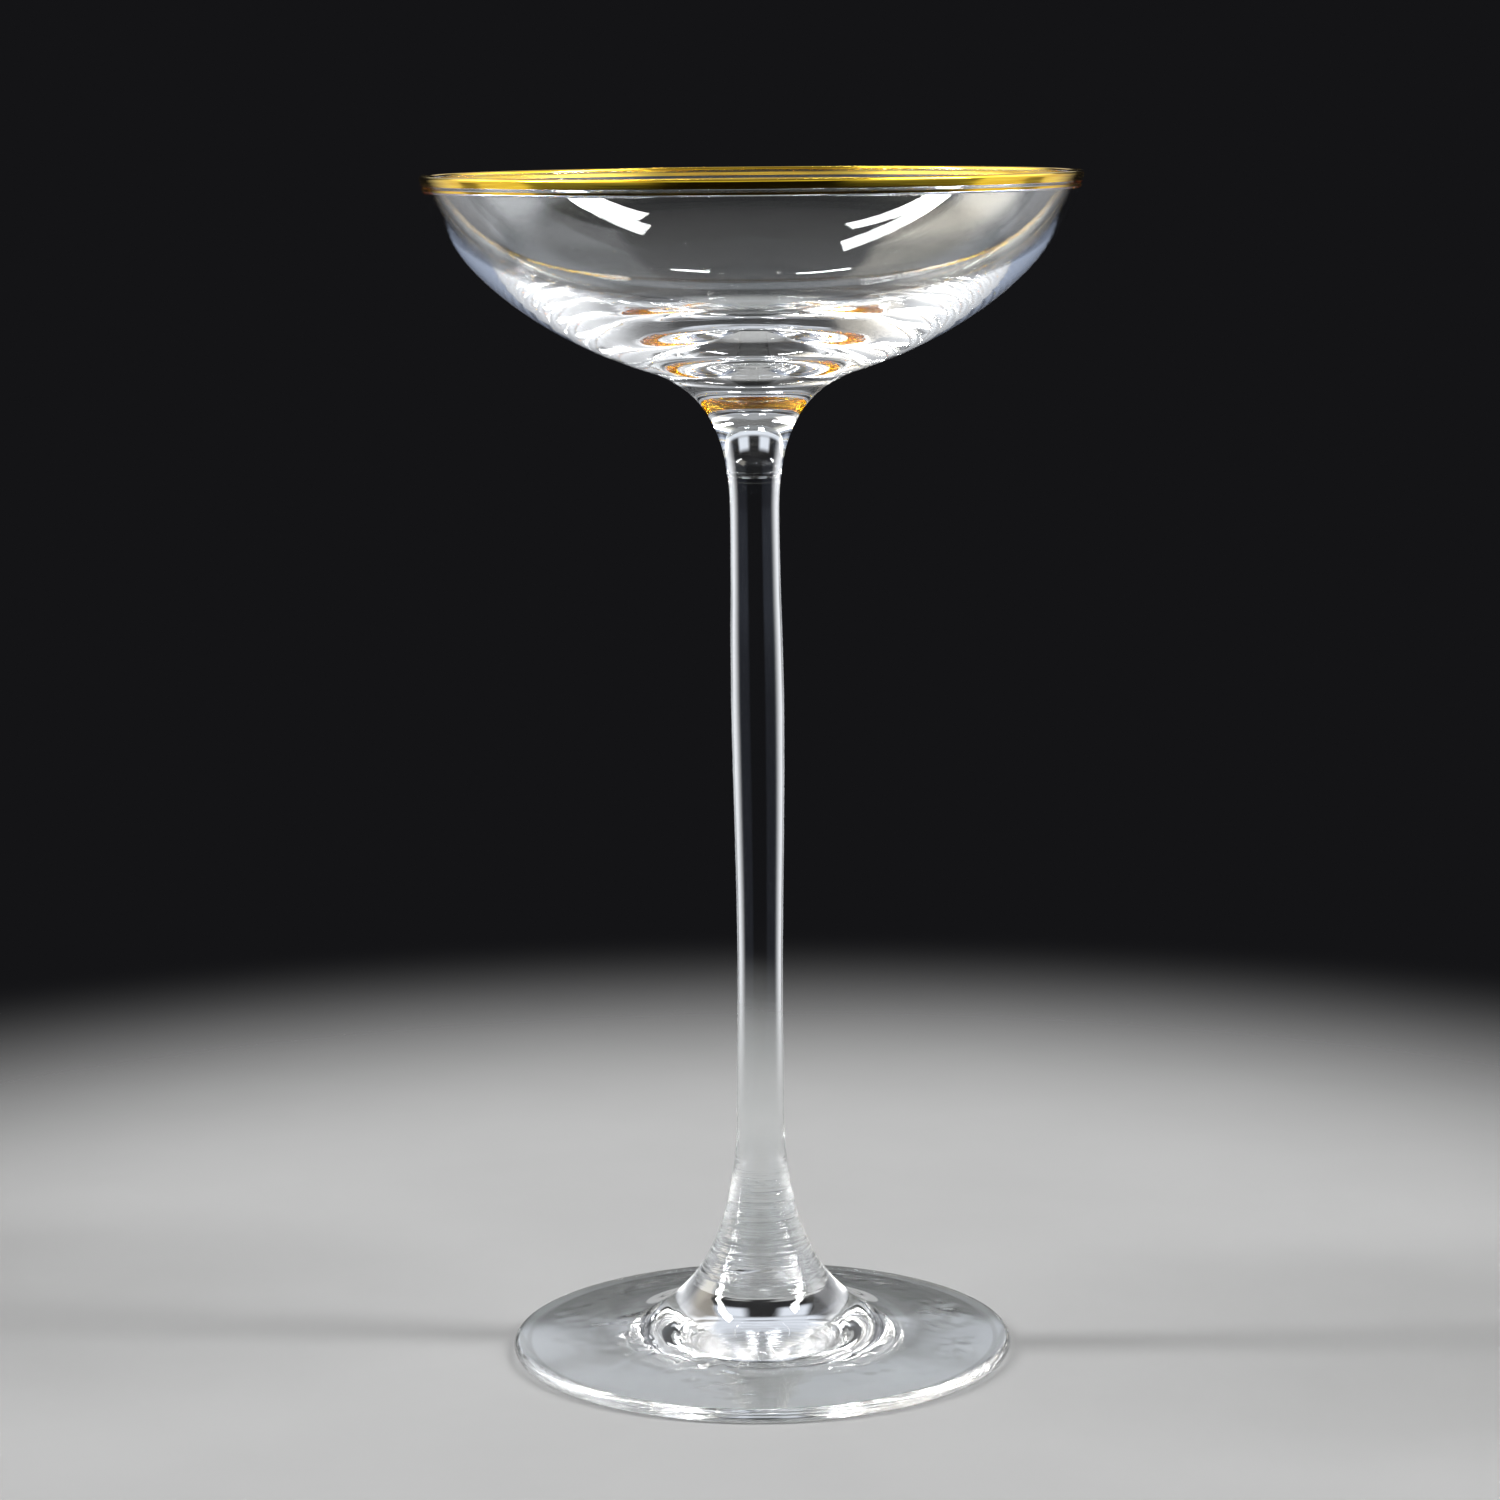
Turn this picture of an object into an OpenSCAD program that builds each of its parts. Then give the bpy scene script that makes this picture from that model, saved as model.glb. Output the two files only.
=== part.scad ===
// Champagne saucer on a tall solid stem. A blown bowl, a drawn stem and a spun
// foot are fused end to end, and a gold band and a fine gold line are fired on
// at the lip. Z is the axis of the glass, and the foot stands at Z = 0.
// Every piece is one outline turned about the axis, drawn from the top down.

/* [Overall] */
// Height from the table to the top of the lip
total_h = 201.5; // [180:0.5:230]
// Outside diameter at the lip
rim_d = 110; // [95:1:125]
// Outside diameter of the foot
foot_d = 86; // [72:1:100]

/* [Bowl] */
// Drop from the lip to the turn, where the wall runs over into the funnel
bowl_drop = 32.7; // [27:0.1:40]
// Diameter of the outside at the turn
turn_d = 35.6; // [30:0.2:42]
// Lean of the wall at the lip, from upright
lip_lean = 13; // [6:1:22]
// Slope of the outside at the turn, from level
turn_slope = 17.6; // [12:0.2:26]
// Thickness of the wall at the lip, which is fully rounded
lip_t = 1.1; // [0.8:0.1:1.8]
// Height of the lowest point inside the bowl above the turn
floor_rise = 4.4; // [1:0.1:6]
// Length of the funnel, from the turn down to the neck
funnel_l = 23.4; // [20:0.2:28]
// Length of funnel that belongs to the bowl, from the turn down to its joint
shank_l = 16.8; // [12:0.2:19]

/* [Gold] */
// Thickness of the fired gold
gold_t = 0.08; // [0.05:0.01:0.15]
// Height of the gold band on the outside, from the top of the lip
band_h = 1.6; // [1.3:0.1:5]
// Clear glass between the band and the fine line
line_gap = 0.5; // [0.3:0.1:3]
// Width of the fine line, up the wall
line_w = 0.4; // [0.2:0.1:1.5]

/* [Stem] */
// Diameter at the neck, just under the funnel
neck_d = 8.4; // [7:0.1:11]
// Diameter at the belly, the thickest place of the upper stem
belly_d = 9.1; // [8:0.1:12]
// Diameter at the waist, the thinnest place of the stem
waist_d = 7.9; // [6.5:0.1:10]
// Diameter at the root, where the stem starts to widen into the foot
root_d = 8.1; // [7:0.1:11]
// Width of the weld bead round the joint of bowl and stem
bead_w = 0.8; // [0.5:0.1:1.4]
// How far the weld bead stands out of the stem
bead_proud = 0.12; // [0.06:0.02:0.2]

/* [Foot] */
// Height of the root above the table
root_h = 43; // [36:0.5:52]
// Height of the joint of stem and foot above the table
foot_joint_h = 24; // [18:0.5:30]
// Diameter of the foot's top where the riser has run out
riser_d = 56; // [44:1:62]
// Slope of the foot's top outside the riser
foot_slope = 6; // [3:0.5:9]
// Thickness of the foot at its rounded edge
edge_t = 2.3; // [1.8:0.1:3.5]
// Height of the hollow under the foot, at the axis
arch_h = 3; // [1:0.1:4.5]
// Width of the flat ring that the foot stands on
stand_w = 1.8; // [1:0.1:4]

/* [Hidden] */
$fn = 120;

glass_colour = [0.85, 0.90, 0.91, 0.45];
gold_colour = [0.84, 0.64, 0.20];

// How far each curve runs on its end tangents, as shares of its reach:
// the wall from the lip and into the turn, the inside from the lip and into
// its floor, the funnel from the turn and into the neck, and the riser from
// the root and into the foot's top
wall_pull_shares = [0.455, 0.50];
inside_pull_shares = [0.30, 0.77];
funnel_pull_shares = [0.60, 0.65];
riser_pull_shares = [0.61, 0.67];
// Places of the belly and the waist up the stem, as shares from root to neck
belly_share = 0.70;
waist_share = 0.22;

// Number of flats along the curves
wall_steps = 28;
gold_steps = 3;
lip_steps = 12;
inside_steps = 32;
funnel_steps = 20;
stem_steps = 10;
riser_steps = 24;
edge_steps = 12;
arch_steps = 10;
search_steps = 30;

lip_r = lip_t / 2;
turn_z = total_h - bowl_drop;
floor_z = turn_z + floor_rise;
neck_z = turn_z - funnel_l;
bowl_joint_z = turn_z - shank_l;
edge_r = edge_t / 2;

// Centre of the rounded lip, and the wall's direction down from it
lip_c = [rim_d / 2 - lip_r, total_h - lip_r];
down_wall = [-sin(lip_lean), -cos(lip_lean)];
out_wall = [cos(lip_lean), -sin(lip_lean)];
down_turn = [-cos(turn_slope), -sin(turn_slope)];

// Centre of the foot's rounded edge, and the foot's top running out to it
edge_c = [foot_d / 2 - edge_r, edge_r];
down_top = [cos(foot_slope), -sin(foot_slope)];
top_end = edge_c + edge_r * [sin(foot_slope), cos(foot_slope)];
riser_end = top_end - (top_end.x - riser_d / 2) / cos(foot_slope) * down_top;

// Curve from a to b that leaves a along from and reaches b along to
function curve(a, from, b, to) = [a, a + from, b - to, b];

wall = curve(
    lip_c + lip_r * out_wall,
    wall_pull_shares[0] * bowl_drop * down_wall,
    [turn_d / 2, turn_z],
    wall_pull_shares[1] * (rim_d - turn_d) / 2 * down_turn
);
inside = curve(
    lip_c - lip_r * out_wall,
    inside_pull_shares[0] * (total_h - floor_z) * down_wall,
    [0, floor_z],
    inside_pull_shares[1] * (rim_d / 2 - lip_t) * [-1, 0]
);
funnel = curve(
    [turn_d / 2, turn_z],
    funnel_pull_shares[0] * (turn_d - neck_d) / 2 * down_turn,
    [neck_d / 2, neck_z],
    funnel_pull_shares[1] * funnel_l * [0, -1]
);
riser = curve(
    [root_d / 2, root_h],
    riser_pull_shares[0] * (root_h - riser_end.y) * [0, -1],
    riser_end,
    riser_pull_shares[1] * (riser_end.x - root_d / 2) * down_top
);

// Point of a curve at t, from 0 at its top to 1 at its bottom
function at(c, t) =
    pow(1 - t, 3) * c[0] + 3 * pow(1 - t, 2) * t * c[1]
    + 3 * (1 - t) * t * t * c[2] + t * t * t * c[3];

// Direction of a curve at t
function along(c, t) =
    let (d = pow(1 - t, 2) * (c[1] - c[0]) + 2 * (1 - t) * t * (c[2] - c[1])
        + t * t * (c[3] - c[2]))
    d / norm(d);

// The t at which a curve passes a height
function t_at(c, z, low = 0, high = 1, left = search_steps) =
    let (mid = (low + high) / 2)
    left == 0 ? mid
    : at(c, mid).y > z ? t_at(c, z, mid, high, left - 1)
    : t_at(c, z, low, mid, left - 1);

// Points along a curve from t0 to t1, set back from it on the axis side
function run(c, t0, t1, steps, set_back = 0, first = 0) = [
    for (i = [first:steps])
        let (t = t0 + (t1 - t0) * i / steps, d = along(c, t))
        at(c, t) + set_back * [d.y, -d.x]
];

// Points round a centre from angle a0 to angle a1
function arc(c, r, a0, a1, steps, first = 0) = [
    for (i = [first:steps])
        let (a = a0 + (a1 - a0) * i / steps) c + r * [cos(a), sin(a)]
];

// Points of a stretch of stem that eases from one radius and height to another
function ease(p, q, steps) = [
    for (i = [1:steps])
        let (s = i / steps)
        [p.x + (q.x - p.x) * (1 - cos(180 * s)) / 2, p.y + (q.y - p.y) * s]
];

function backwards(list) = [for (i = [len(list) - 1:-1:0]) list[i]];

// Where the gold begins and ends on the wall, and where the glass is joined
t_band = t_at(wall, total_h - band_h);
t_line_top = t_at(wall, total_h - band_h - line_gap);
t_line_low = t_at(wall, total_h - band_h - line_gap - line_w);
t_bowl_joint = t_at(funnel, bowl_joint_z);
t_foot_joint = t_at(riser, foot_joint_h);

// Surface of the gold's seat: over the lip and down the wall, and the line's
function band_path(set_back) = concat(
    arc(lip_c, lip_r - set_back, 180 - lip_lean, -lip_lean, lip_steps),
    run(wall, 0, t_band, gold_steps, set_back, 1)
);
function line_path(set_back) = run(wall, t_line_top, t_line_low, gold_steps, set_back);

module turned(outline) rotate_extrude() polygon(outline);

// Blown cup with its funnel-shaped shank, solid below the floor
module bowl() color(glass_colour) turned(concat(
    backwards(run(inside, 0, 1, inside_steps)),
    band_path(gold_t),
    run(wall, t_band, t_line_top, gold_steps),
    line_path(gold_t),
    run(wall, t_line_low, 1, wall_steps),
    run(funnel, 0, t_bowl_joint, funnel_steps, 0, 1),
    [[0, bowl_joint_z]]
));

// Solid drawn rod, with the weld bead just under the bowl's joint
module stem() color(glass_colour) {
    neck = at(funnel, 1);
    root = at(riser, 0);
    belly = [belly_d / 2, root.y + belly_share * (neck.y - root.y)];
    waist = [waist_d / 2, root.y + waist_share * (neck.y - root.y)];
    bead_r = bead_w / 2;
    turned(concat(
        [[0, bowl_joint_z]],
        run(funnel, t_bowl_joint, 1, stem_steps),
        ease(neck, belly, stem_steps),
        ease(belly, waist, stem_steps),
        ease(waist, root, stem_steps),
        run(riser, 0, t_foot_joint, riser_steps, 0, 1),
        [[0, foot_joint_h]]
    ));
    rotate_extrude()
        translate([at(funnel, t_bowl_joint).x - bead_r + bead_proud, bowl_joint_z - bead_r])
            circle(bead_r);
}

// Round foot with its conical riser and a slight hollow underneath
module foot() color(glass_colour) {
    stand_in = edge_c.x - stand_w;
    arch_r = (stand_in * stand_in + arch_h * arch_h) / (2 * arch_h);
    arch_a = asin(stand_in / arch_r);
    turned(concat(
        [[0, foot_joint_h]],
        run(riser, t_foot_joint, 1, riser_steps),
        arc(edge_c, edge_r, 90 - foot_slope, -90, edge_steps),
        arc([0, arch_h - arch_r], arch_r, 90 - arch_a, 90, arch_steps)
    ));
}

// Gold fired over the rounded lip and down the outside of the wall
module gold_band() color(gold_colour)
    turned(concat(band_path(0), backwards(band_path(gold_t))));

// Fine gold line under the band
module gold_line() color(gold_colour)
    turned(concat(line_path(0), backwards(line_path(gold_t))));

bowl();
stem();
foot();
gold_band();
gold_line();
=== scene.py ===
# Champagne saucer with a gold rim: a blown bowl, a drawn stem and a spun foot
# are fused end to end, and a gold band and a fine gold line are fired on at
# the lip. Lengths are in metres, and the foot stands at Z = 0 on the Z axis.
from math import asin, atan2, cos, hypot, pi, radians, sin, sqrt, tan

import bmesh
import bpy
from bpy.props import FloatProperty, FloatVectorProperty, IntProperty, PointerProperty
from mathutils import Matrix, Vector, noise


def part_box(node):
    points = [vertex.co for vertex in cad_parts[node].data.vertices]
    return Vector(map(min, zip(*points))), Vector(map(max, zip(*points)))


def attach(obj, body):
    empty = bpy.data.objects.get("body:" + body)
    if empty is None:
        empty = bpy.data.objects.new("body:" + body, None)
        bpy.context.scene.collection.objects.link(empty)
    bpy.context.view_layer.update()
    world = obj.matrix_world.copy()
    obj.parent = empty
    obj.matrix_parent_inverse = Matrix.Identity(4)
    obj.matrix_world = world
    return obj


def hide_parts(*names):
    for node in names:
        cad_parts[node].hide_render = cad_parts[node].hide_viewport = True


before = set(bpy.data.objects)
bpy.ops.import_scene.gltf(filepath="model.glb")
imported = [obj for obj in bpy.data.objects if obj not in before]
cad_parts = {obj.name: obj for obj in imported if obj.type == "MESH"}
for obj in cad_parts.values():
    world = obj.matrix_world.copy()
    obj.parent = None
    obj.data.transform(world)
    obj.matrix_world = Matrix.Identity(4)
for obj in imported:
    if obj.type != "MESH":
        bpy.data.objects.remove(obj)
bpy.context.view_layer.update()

bl_info = {
    "name": "Gold-rimmed champagne saucer",
    "version": (1, 0, 0),
    "blender": (4, 5, 0),
    "location": "3D View > Sidebar > Stemware",
    "description": "Makes a stemmed glass with a fired gold rim and the studio it stands in",
    "category": "Add Mesh",
}

MM = 0.001
ROOT = "root"
UP = (0, 0, 1)
SAME_PLACE = 1e-7
SEARCH_STEPS = 40

# How far every piece is pulled in all round, and how much further towards +Y and -Y
PULLED_IN = 0.02 * MM
OUT_OF_ROUND = 0.05 * MM

# Rings in the blown wall: the height over the joint where they are full, the two
# depths under the lip between which they lose a share of their height, how far
# they keep their line round the wall, and the step that sets the inside's apart
WAVES_FULL = 6 * MM
WAVES_CALM = (30 * MM, 16 * MM)
WAVES_CALM_SHARE = 0.9
WAVE_REACH = 26 * MM
WAVE_INSIDE = 40.0

# Unevenness of the drawn stem, its waves per metre, and the heights from which it
# is full and from which it dies away
STEM_WAVE = 0.03 * MM
STEM_GRAIN = Vector((60, 60, 110))
STEM_WAVE_FROM = 34 * MM
STEM_WAVE_TO = 146 * MM

# Tool marks that wind up the riser: the heights where they come and go, the size
# and flatness of the patches in which they differ, how far these shift them
# (in radians), and their share of the full depth with its change
THREADS_FROM = (9 * MM, 13 * MM)
THREADS_TO = (25 * MM, 31 * MM)
THREAD_PATCH = 7 * MM
THREAD_PATCH_FLAT = 3
THREAD_WANDER = 2.2
THREAD_SHARE = 0.65
THREAD_CHANGE_SHARE = 0.6

# Wrinkles under the foot: the radii where they come and go, the size of the
# patches where they are deep, the noise that makes a patch, their share of the
# depth elsewhere, their width, and the size and reach of the curls in them
WRINKLES_FROM = (16 * MM, 24 * MM)
WRINKLES_TO = (34 * MM, 40 * MM)
WRINKLE_PATCH = 14 * MM
WRINKLE_PATCH_NOISE = (-0.1, 0.5)
WRINKLE_SHARE = 0.15
WRINKLE_L = 2.6 * MM
CURL_L = 6 * MM
CURL_REACH = 2 * MM
# Without a seed, the vectors of noise that curl the wrinkles change with each run
CURL_SEED = 7
# A point whose normal runs further down than this lies on the underside
FACING_DOWN = -0.5

# Angle between two faces of gold from which their edge is crisp
GOLD_CREASE = radians(50)

# Noise in the materials, with its scale per metre. It is least under the low value
# and most over the high one, from 0 to 1 where nothing else is said. The glass has
# streaks, smears, the uneven skin that fire leaves and the fine marks of tools, the
# gold has brush strokes and rubbed places, and the floor has a faint mottle.
STREAK = dict(scale=(45, 45, 160), detail=2, low=0.35, high=0.7)
SMEAR = dict(scale=(90, 90, 60), detail=4, low=0.52, high=0.8, most=0.05)
PEEL = dict(scale=(260, 260, 260), detail=1, low=0, high=1, most=0.01)
MARKS = dict(scale=(30, 30, 1300), detail=4, low=0.42, high=0.72)
STROKE = dict(scale=(90, 90, 3200), detail=3, low=0.35, high=0.68)
RUB = dict(scale=(140, 140, 2600), detail=4, low=0.3, high=0.75, least=0.07, most=0.20)
MOTTLE = dict(scale=(30, 30, 30), detail=3, low=0.3, high=0.7)

GLASS_IOR = 1.52
# Depth of the fine tool marks on the riser, and the heights where they come and go
MARK_DEPTH = 0.14 * MM
MARKS_FROM = (11 * MM, 15 * MM)
MARKS_TO = (34 * MM, 28 * MM)
# Depth of the gold's brush strokes, and the share of it that shows
STROKE_DEPTH = 0.01 * MM
STROKE_SHARE = 0.25

# The camera of the photograph, found from the ellipses of the lip and the foot
CAMERA_PLACE = Vector((-1.16 * MM, -679.68 * MM, 213.775 * MM))
CAMERA_PITCH = radians(9.132)
CAMERA_ROLL = radians(0.55)
CAMERA_LENS = 97.47

# Strip lights and small tubes, as they are seen from the back of the bowl. Each
# row has a name and then, in degrees, the turn from the camera's side, the height
# over level, the lean, the width and the height of the light.
BOWL_BACK = Vector((0, 35 * MM, 190 * MM))
SOFTBOXES = (
    ("left_light", -89, 47, 0, 6, 43),
    ("right_light", 79.5, 44, 8, 7.3, 37),
    ("left_tube", -170, 47.5, 0, 5.5, 1.2),
    ("right_tube", 170, 50.5, 0, 4, 1.2),
)
SOFTBOX_FAR = 3.0
# Power of a light per square metre, and how bright the glass shows it
SOFTBOX_GLOW = 64.0
SOFTBOX_SHINE = 60.0

FLOOR_RADIUS = 0.9
FLOOR_FLATS = 96
FLOOR_GAP = 0.1 * MM
# Distances from the glass between which the floor runs out into the backdrop
FLOOR_FADE = (0.12, 0.36)
FLOOR_ROUGHNESS = 0.9
FLOOR_MOTTLE_SHARE = 0.97
# Strength of the world's light on the floor and on other matt surfaces
FLOOR_FILL = 0.25

# Low dark cards beside the foot: name, first and last turn from the camera's side
# in degrees, and tone. They fade between two heights.
CARDS = (("left_card", -140, -20, 0.12), ("right_card", 20, 140, 0.04))
CARD_FAR = 100 * MM
CARD_TOP = 60 * MM
CARD_FADE = (34 * MM, 60 * MM)
CARD_FLATS = 24

# Patches of light round the glass. Turns are in degrees from the camera's side,
# the same to the left and the right, but for the two walls, where they are below 0
# on the left. Heights are the sine of the angle over level. Each row says where a
# patch starts, where it is full, from where it dies away and where it ends.
# Tall panels at the sides, with a darker post across their low part
SIDE_TURNS = (84, 87, 128, 152)
SIDE_HEIGHTS = (-0.60, -0.50, 0.50, 0.62)
POST_TURNS = (109, 112, 120, 123)
POST_HEIGHTS = (-1.10, -1.00, -0.17, -0.10)
POST_SHARE = 0.75
# Dimmer panels nearer the camera, with a fainter apron under them
FRONT_TURNS = (28, 40, 84, 87)
FRONT_HEIGHTS = (-0.15, -0.05, 0.50, 0.62)
APRON_HEIGHTS = (-0.48, -0.40, -0.15, -0.05)
APRON_SHARE = 0.4
# Bright eaves over all the panels
EAVES_TURNS = (32, 66, 112, 140)
EAVES_HEIGHTS = (0.30, 0.38, 0.56, 0.66)
EAVES_SHINE = 2.0
# Small gaps of light in the backdrop, either side of its middle
GAP_TURNS = (158, 163, 171, 176)
GAP_HEIGHTS = (0.20, 0.26, 0.36, 0.45)
# High walls of light behind the glass, a bright warm one and a plain one
LEFT_WALL_TURNS = (-145, -118, -103, -98)
RIGHT_WALL_TURNS = (103, 107, 125, 150)
WALL_HEIGHTS = (0.28, 0.45, 0.86, 0.90)
LEFT_WALL_SHINE = 3.8
RIGHT_WALL_SHINE = 0.6
# Pale dome: the pairs of heights between which it starts, its top starts and its
# part behind the glass gets dimmer, and the turns between which that part starts
DOME_HEIGHTS = (0.38, 0.45)
DOME_TOP_HEIGHTS = (0.66, 0.80)
DOME_BACK_HEIGHTS = (0.55, 0.68)
DOME_TURNS = (100, 150)

# Limits between the whole numbers that count the bounces of light
BEFORE_FIRST_BOUNCE = 0.5
BEFORE_SECOND_BOUNCE = 1.5
# Bounces that light gets in the glass and through clear surfaces, and the
# brightness at which a stray spark of light is cut
BOUNCES = 128
CLEAR_BOUNCES = 32
SPARK_LIMIT = 40


def widest(node):
    """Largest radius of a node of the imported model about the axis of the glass."""
    return max(hypot(v.co.x, v.co.y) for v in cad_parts[node].data.vertices)


LIP_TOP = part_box("gold_band")[1].z
STEM_LOW, STEM_TOP = (corner.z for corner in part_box("stem"))
LIP_RADIUS = widest("gold_band")
FOOT_RADIUS = widest("foot")


def length(name, description, default):
    """Property in metres."""
    return FloatProperty(name=name, description=description, default=default,
                         precision=5, subtype="DISTANCE", unit="LENGTH")


def angle(name, description, degrees):
    """Property for an angle, with its default in degrees."""
    return FloatProperty(name=name, description=description, default=radians(degrees),
                         subtype="ANGLE", unit="ROTATION")


def share(name, description, default):
    """Property from 0 to 1."""
    return FloatProperty(name=name, description=description, default=default,
                         subtype="FACTOR", min=0, max=1)


def colour(name, description, default):
    """Property for a colour."""
    return FloatVectorProperty(name=name, description=description, default=default,
                               subtype="COLOR", size=3, min=0, max=1)


def steps(name, description, default):
    """Property for a number of flats."""
    return IntProperty(name=name, description=description, default=default, min=3)


class BowlSizes(bpy.types.PropertyGroup):
    drop: length("Drop", "Drop from the lip to the turn into the funnel", 32.7 * MM)
    turn_r: length("Turn radius", "Radius of the outside at the turn", 17.8 * MM)
    lip_lean: angle("Lip lean", "Lean of the wall at the lip, from upright", 13)
    turn_slope: angle("Turn slope", "Slope of the outside at the turn, from level", 17.6)
    lip_t: length("Lip thickness", "Thickness of the wall at its rounded lip", 1.1 * MM)
    floor_rise: length("Floor rise", "Height of the lowest point inside above the turn", 4.4 * MM)
    funnel_l: length("Funnel length", "Length of the funnel, from the turn to the neck", 23.4 * MM)
    wall_from: share("Wall pull at lip", "How far the wall runs on its lean", 0.455)
    wall_into: share("Wall pull at turn", "How far the wall runs into the turn", 0.50)
    inside_from: share("Inside pull at lip", "How far the inside runs on its lean", 0.30)
    inside_into: share("Inside pull at floor", "How far the inside runs into its floor", 0.77)
    funnel_from: share("Funnel pull at turn", "How far the funnel runs on from the turn", 0.60)
    funnel_into: share("Funnel pull at neck", "How far the funnel runs into the neck", 0.65)
    wave: length("Wave", "Height of the rings that blowing left in the wall", 0.004 * MM)
    wave_l: length("Wave length", "Distance between those rings", 2.2 * MM)


class StemSizes(bpy.types.PropertyGroup):
    neck_r: length("Neck radius", "Radius just under the funnel", 4.2 * MM)
    belly_r: length("Belly radius", "Radius at the thickest place of the stem", 4.55 * MM)
    waist_r: length("Waist radius", "Radius at the thinnest place of the stem", 3.95 * MM)
    root_r: length("Root radius", "Radius where the stem starts to widen", 4.05 * MM)
    root_z: length("Root height", "Height of the root above the table", 43 * MM)
    belly_up: share("Belly place", "Place of the belly from root to neck", 0.70)
    waist_up: share("Waist place", "Place of the waist from root to neck", 0.22)
    bead_w: length("Bead width", "Width of the weld bead at the bowl's joint", 0.8 * MM)
    bead_proud: length("Bead height", "How far the weld bead stands out", 0.12 * MM)
    bow: length("Bow", "How far the middle of the stem stands off its axis", 0.3 * MM)


class FootSizes(bpy.types.PropertyGroup):
    riser_r: length("Riser radius", "Radius of the foot's top where the riser ends", 28 * MM)
    slope: angle("Top slope", "Slope of the foot's top outside the riser", 6)
    edge_t: length("Edge thickness", "Thickness of the foot at its rounded edge", 2.3 * MM)
    arch_h: length("Arch height", "Height of the hollow underneath, at the axis", 3 * MM)
    stand_w: length("Stand width", "Width of the flat ring that the foot stands on", 1.8 * MM)
    riser_from: share("Riser pull at root", "How far the riser runs down from the root", 0.61)
    riser_into: share("Riser pull at top", "How far the riser runs into the foot's top", 0.67)
    thread_h: length("Thread height", "Depth of the tool marks round the riser", 0.03 * MM)
    thread_l: length("Thread pitch", "Rise of the tool marks in one turn", 1.45 * MM)
    wrinkle_h: length("Wrinkle height", "Depth of the wrinkles underneath", 0.10 * MM)


class GoldSizes(bpy.types.PropertyGroup):
    thick: length("Thickness", "Thickness of the fired gold", 0.08 * MM)
    sunk: length("Bite", "How far the gold bites into the glass", 0.02 * MM)
    band_h: length("Band height", "Height of the band from the top of the lip", 1.6 * MM)
    line_gap: length("Gap", "Clear glass between the band and the line", 0.5 * MM)
    line_w: length("Line width", "Width of the fine line", 0.4 * MM)


class Finish(bpy.types.PropertyGroup):
    glass: colour("Glass", "Colour of the clear glass", (0.965, 0.98, 0.978))
    glass_deep: colour("Glass streaks", "Colour of its faint streaks", (0.94, 0.965, 0.965))
    gold: colour("Gold", "Colour of the burnished gold", (0.95, 0.66, 0.06))
    gold_deep: colour("Gold strokes", "Colour of its thicker brush strokes", (0.76, 0.42, 0.02))
    floor: colour("Floor", "Colour of the studio floor", (0.60, 0.60, 0.60))
    backdrop: colour("Backdrop", "Colour of the backdrop", (0.007, 0.007, 0.008))
    dome: colour("Dome", "Colour of the dome's low part", (0.72, 0.72, 0.66))
    dome_top: colour("Dome top", "Colour of the dome straight overhead", (0.17, 0.17, 0.17))
    dome_back: colour("Dome behind", "Colour of its low part behind the glass", (0.82, 0.86, 0.95))
    dome_high: colour("Dome high behind", "Colour of it higher up behind", (0.34, 0.35, 0.37))
    panel: colour("Side panels", "Colour of the light panels at the sides", (0.95, 0.96, 1.0))
    front: colour("Front panels", "Colour of those beside the camera", (0.46, 0.53, 0.70))
    left_wall: colour("Left wall", "Colour of the warm light wall on the left", (1.0, 0.93, 0.82))


class Detail(bpy.types.PropertyGroup):
    round_bowl: steps("Round bowl", "Flats round the bowl and the gold", 192)
    round_stem: steps("Round stem", "Flats round the stem", 96)
    round_foot: steps("Round foot", "Flats round the foot", 256)
    wall: steps("Wall", "Flats along each side of the wall", 110)
    lip: steps("Lip", "Flats over the lip", 12)
    gold: steps("Gold", "Flats down the band and the line", 4)
    funnel: steps("Funnel", "Flats along the funnel", 40)
    stem: steps("Stem", "Flats between two widths of the stem", 40)
    riser: steps("Riser", "Flats along each part of the riser", 110)
    edge: steps("Edge", "Flats round the foot's edge", 16)
    arch: steps("Arch", "Flats along the hollow underneath", 90)


SETTINGS = {
    "bowl": BowlSizes, "stem": StemSizes, "foot": FootSizes,
    "gold": GoldSizes, "finish": Finish, "detail": Detail,
}


class Saucer(bpy.types.PropertyGroup):
    bowl: PointerProperty(type=BowlSizes, name="Bowl", description="Sizes of the bowl")
    stem: PointerProperty(type=StemSizes, name="Stem", description="Sizes of the stem")
    foot: PointerProperty(type=FootSizes, name="Foot", description="Sizes of the foot")
    gold: PointerProperty(type=GoldSizes, name="Gold", description="Sizes of the gold")
    finish: PointerProperty(type=Finish, name="Finish", description="Colours")
    detail: PointerProperty(type=Detail, name="Detail", description="Fineness of the meshes")


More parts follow.
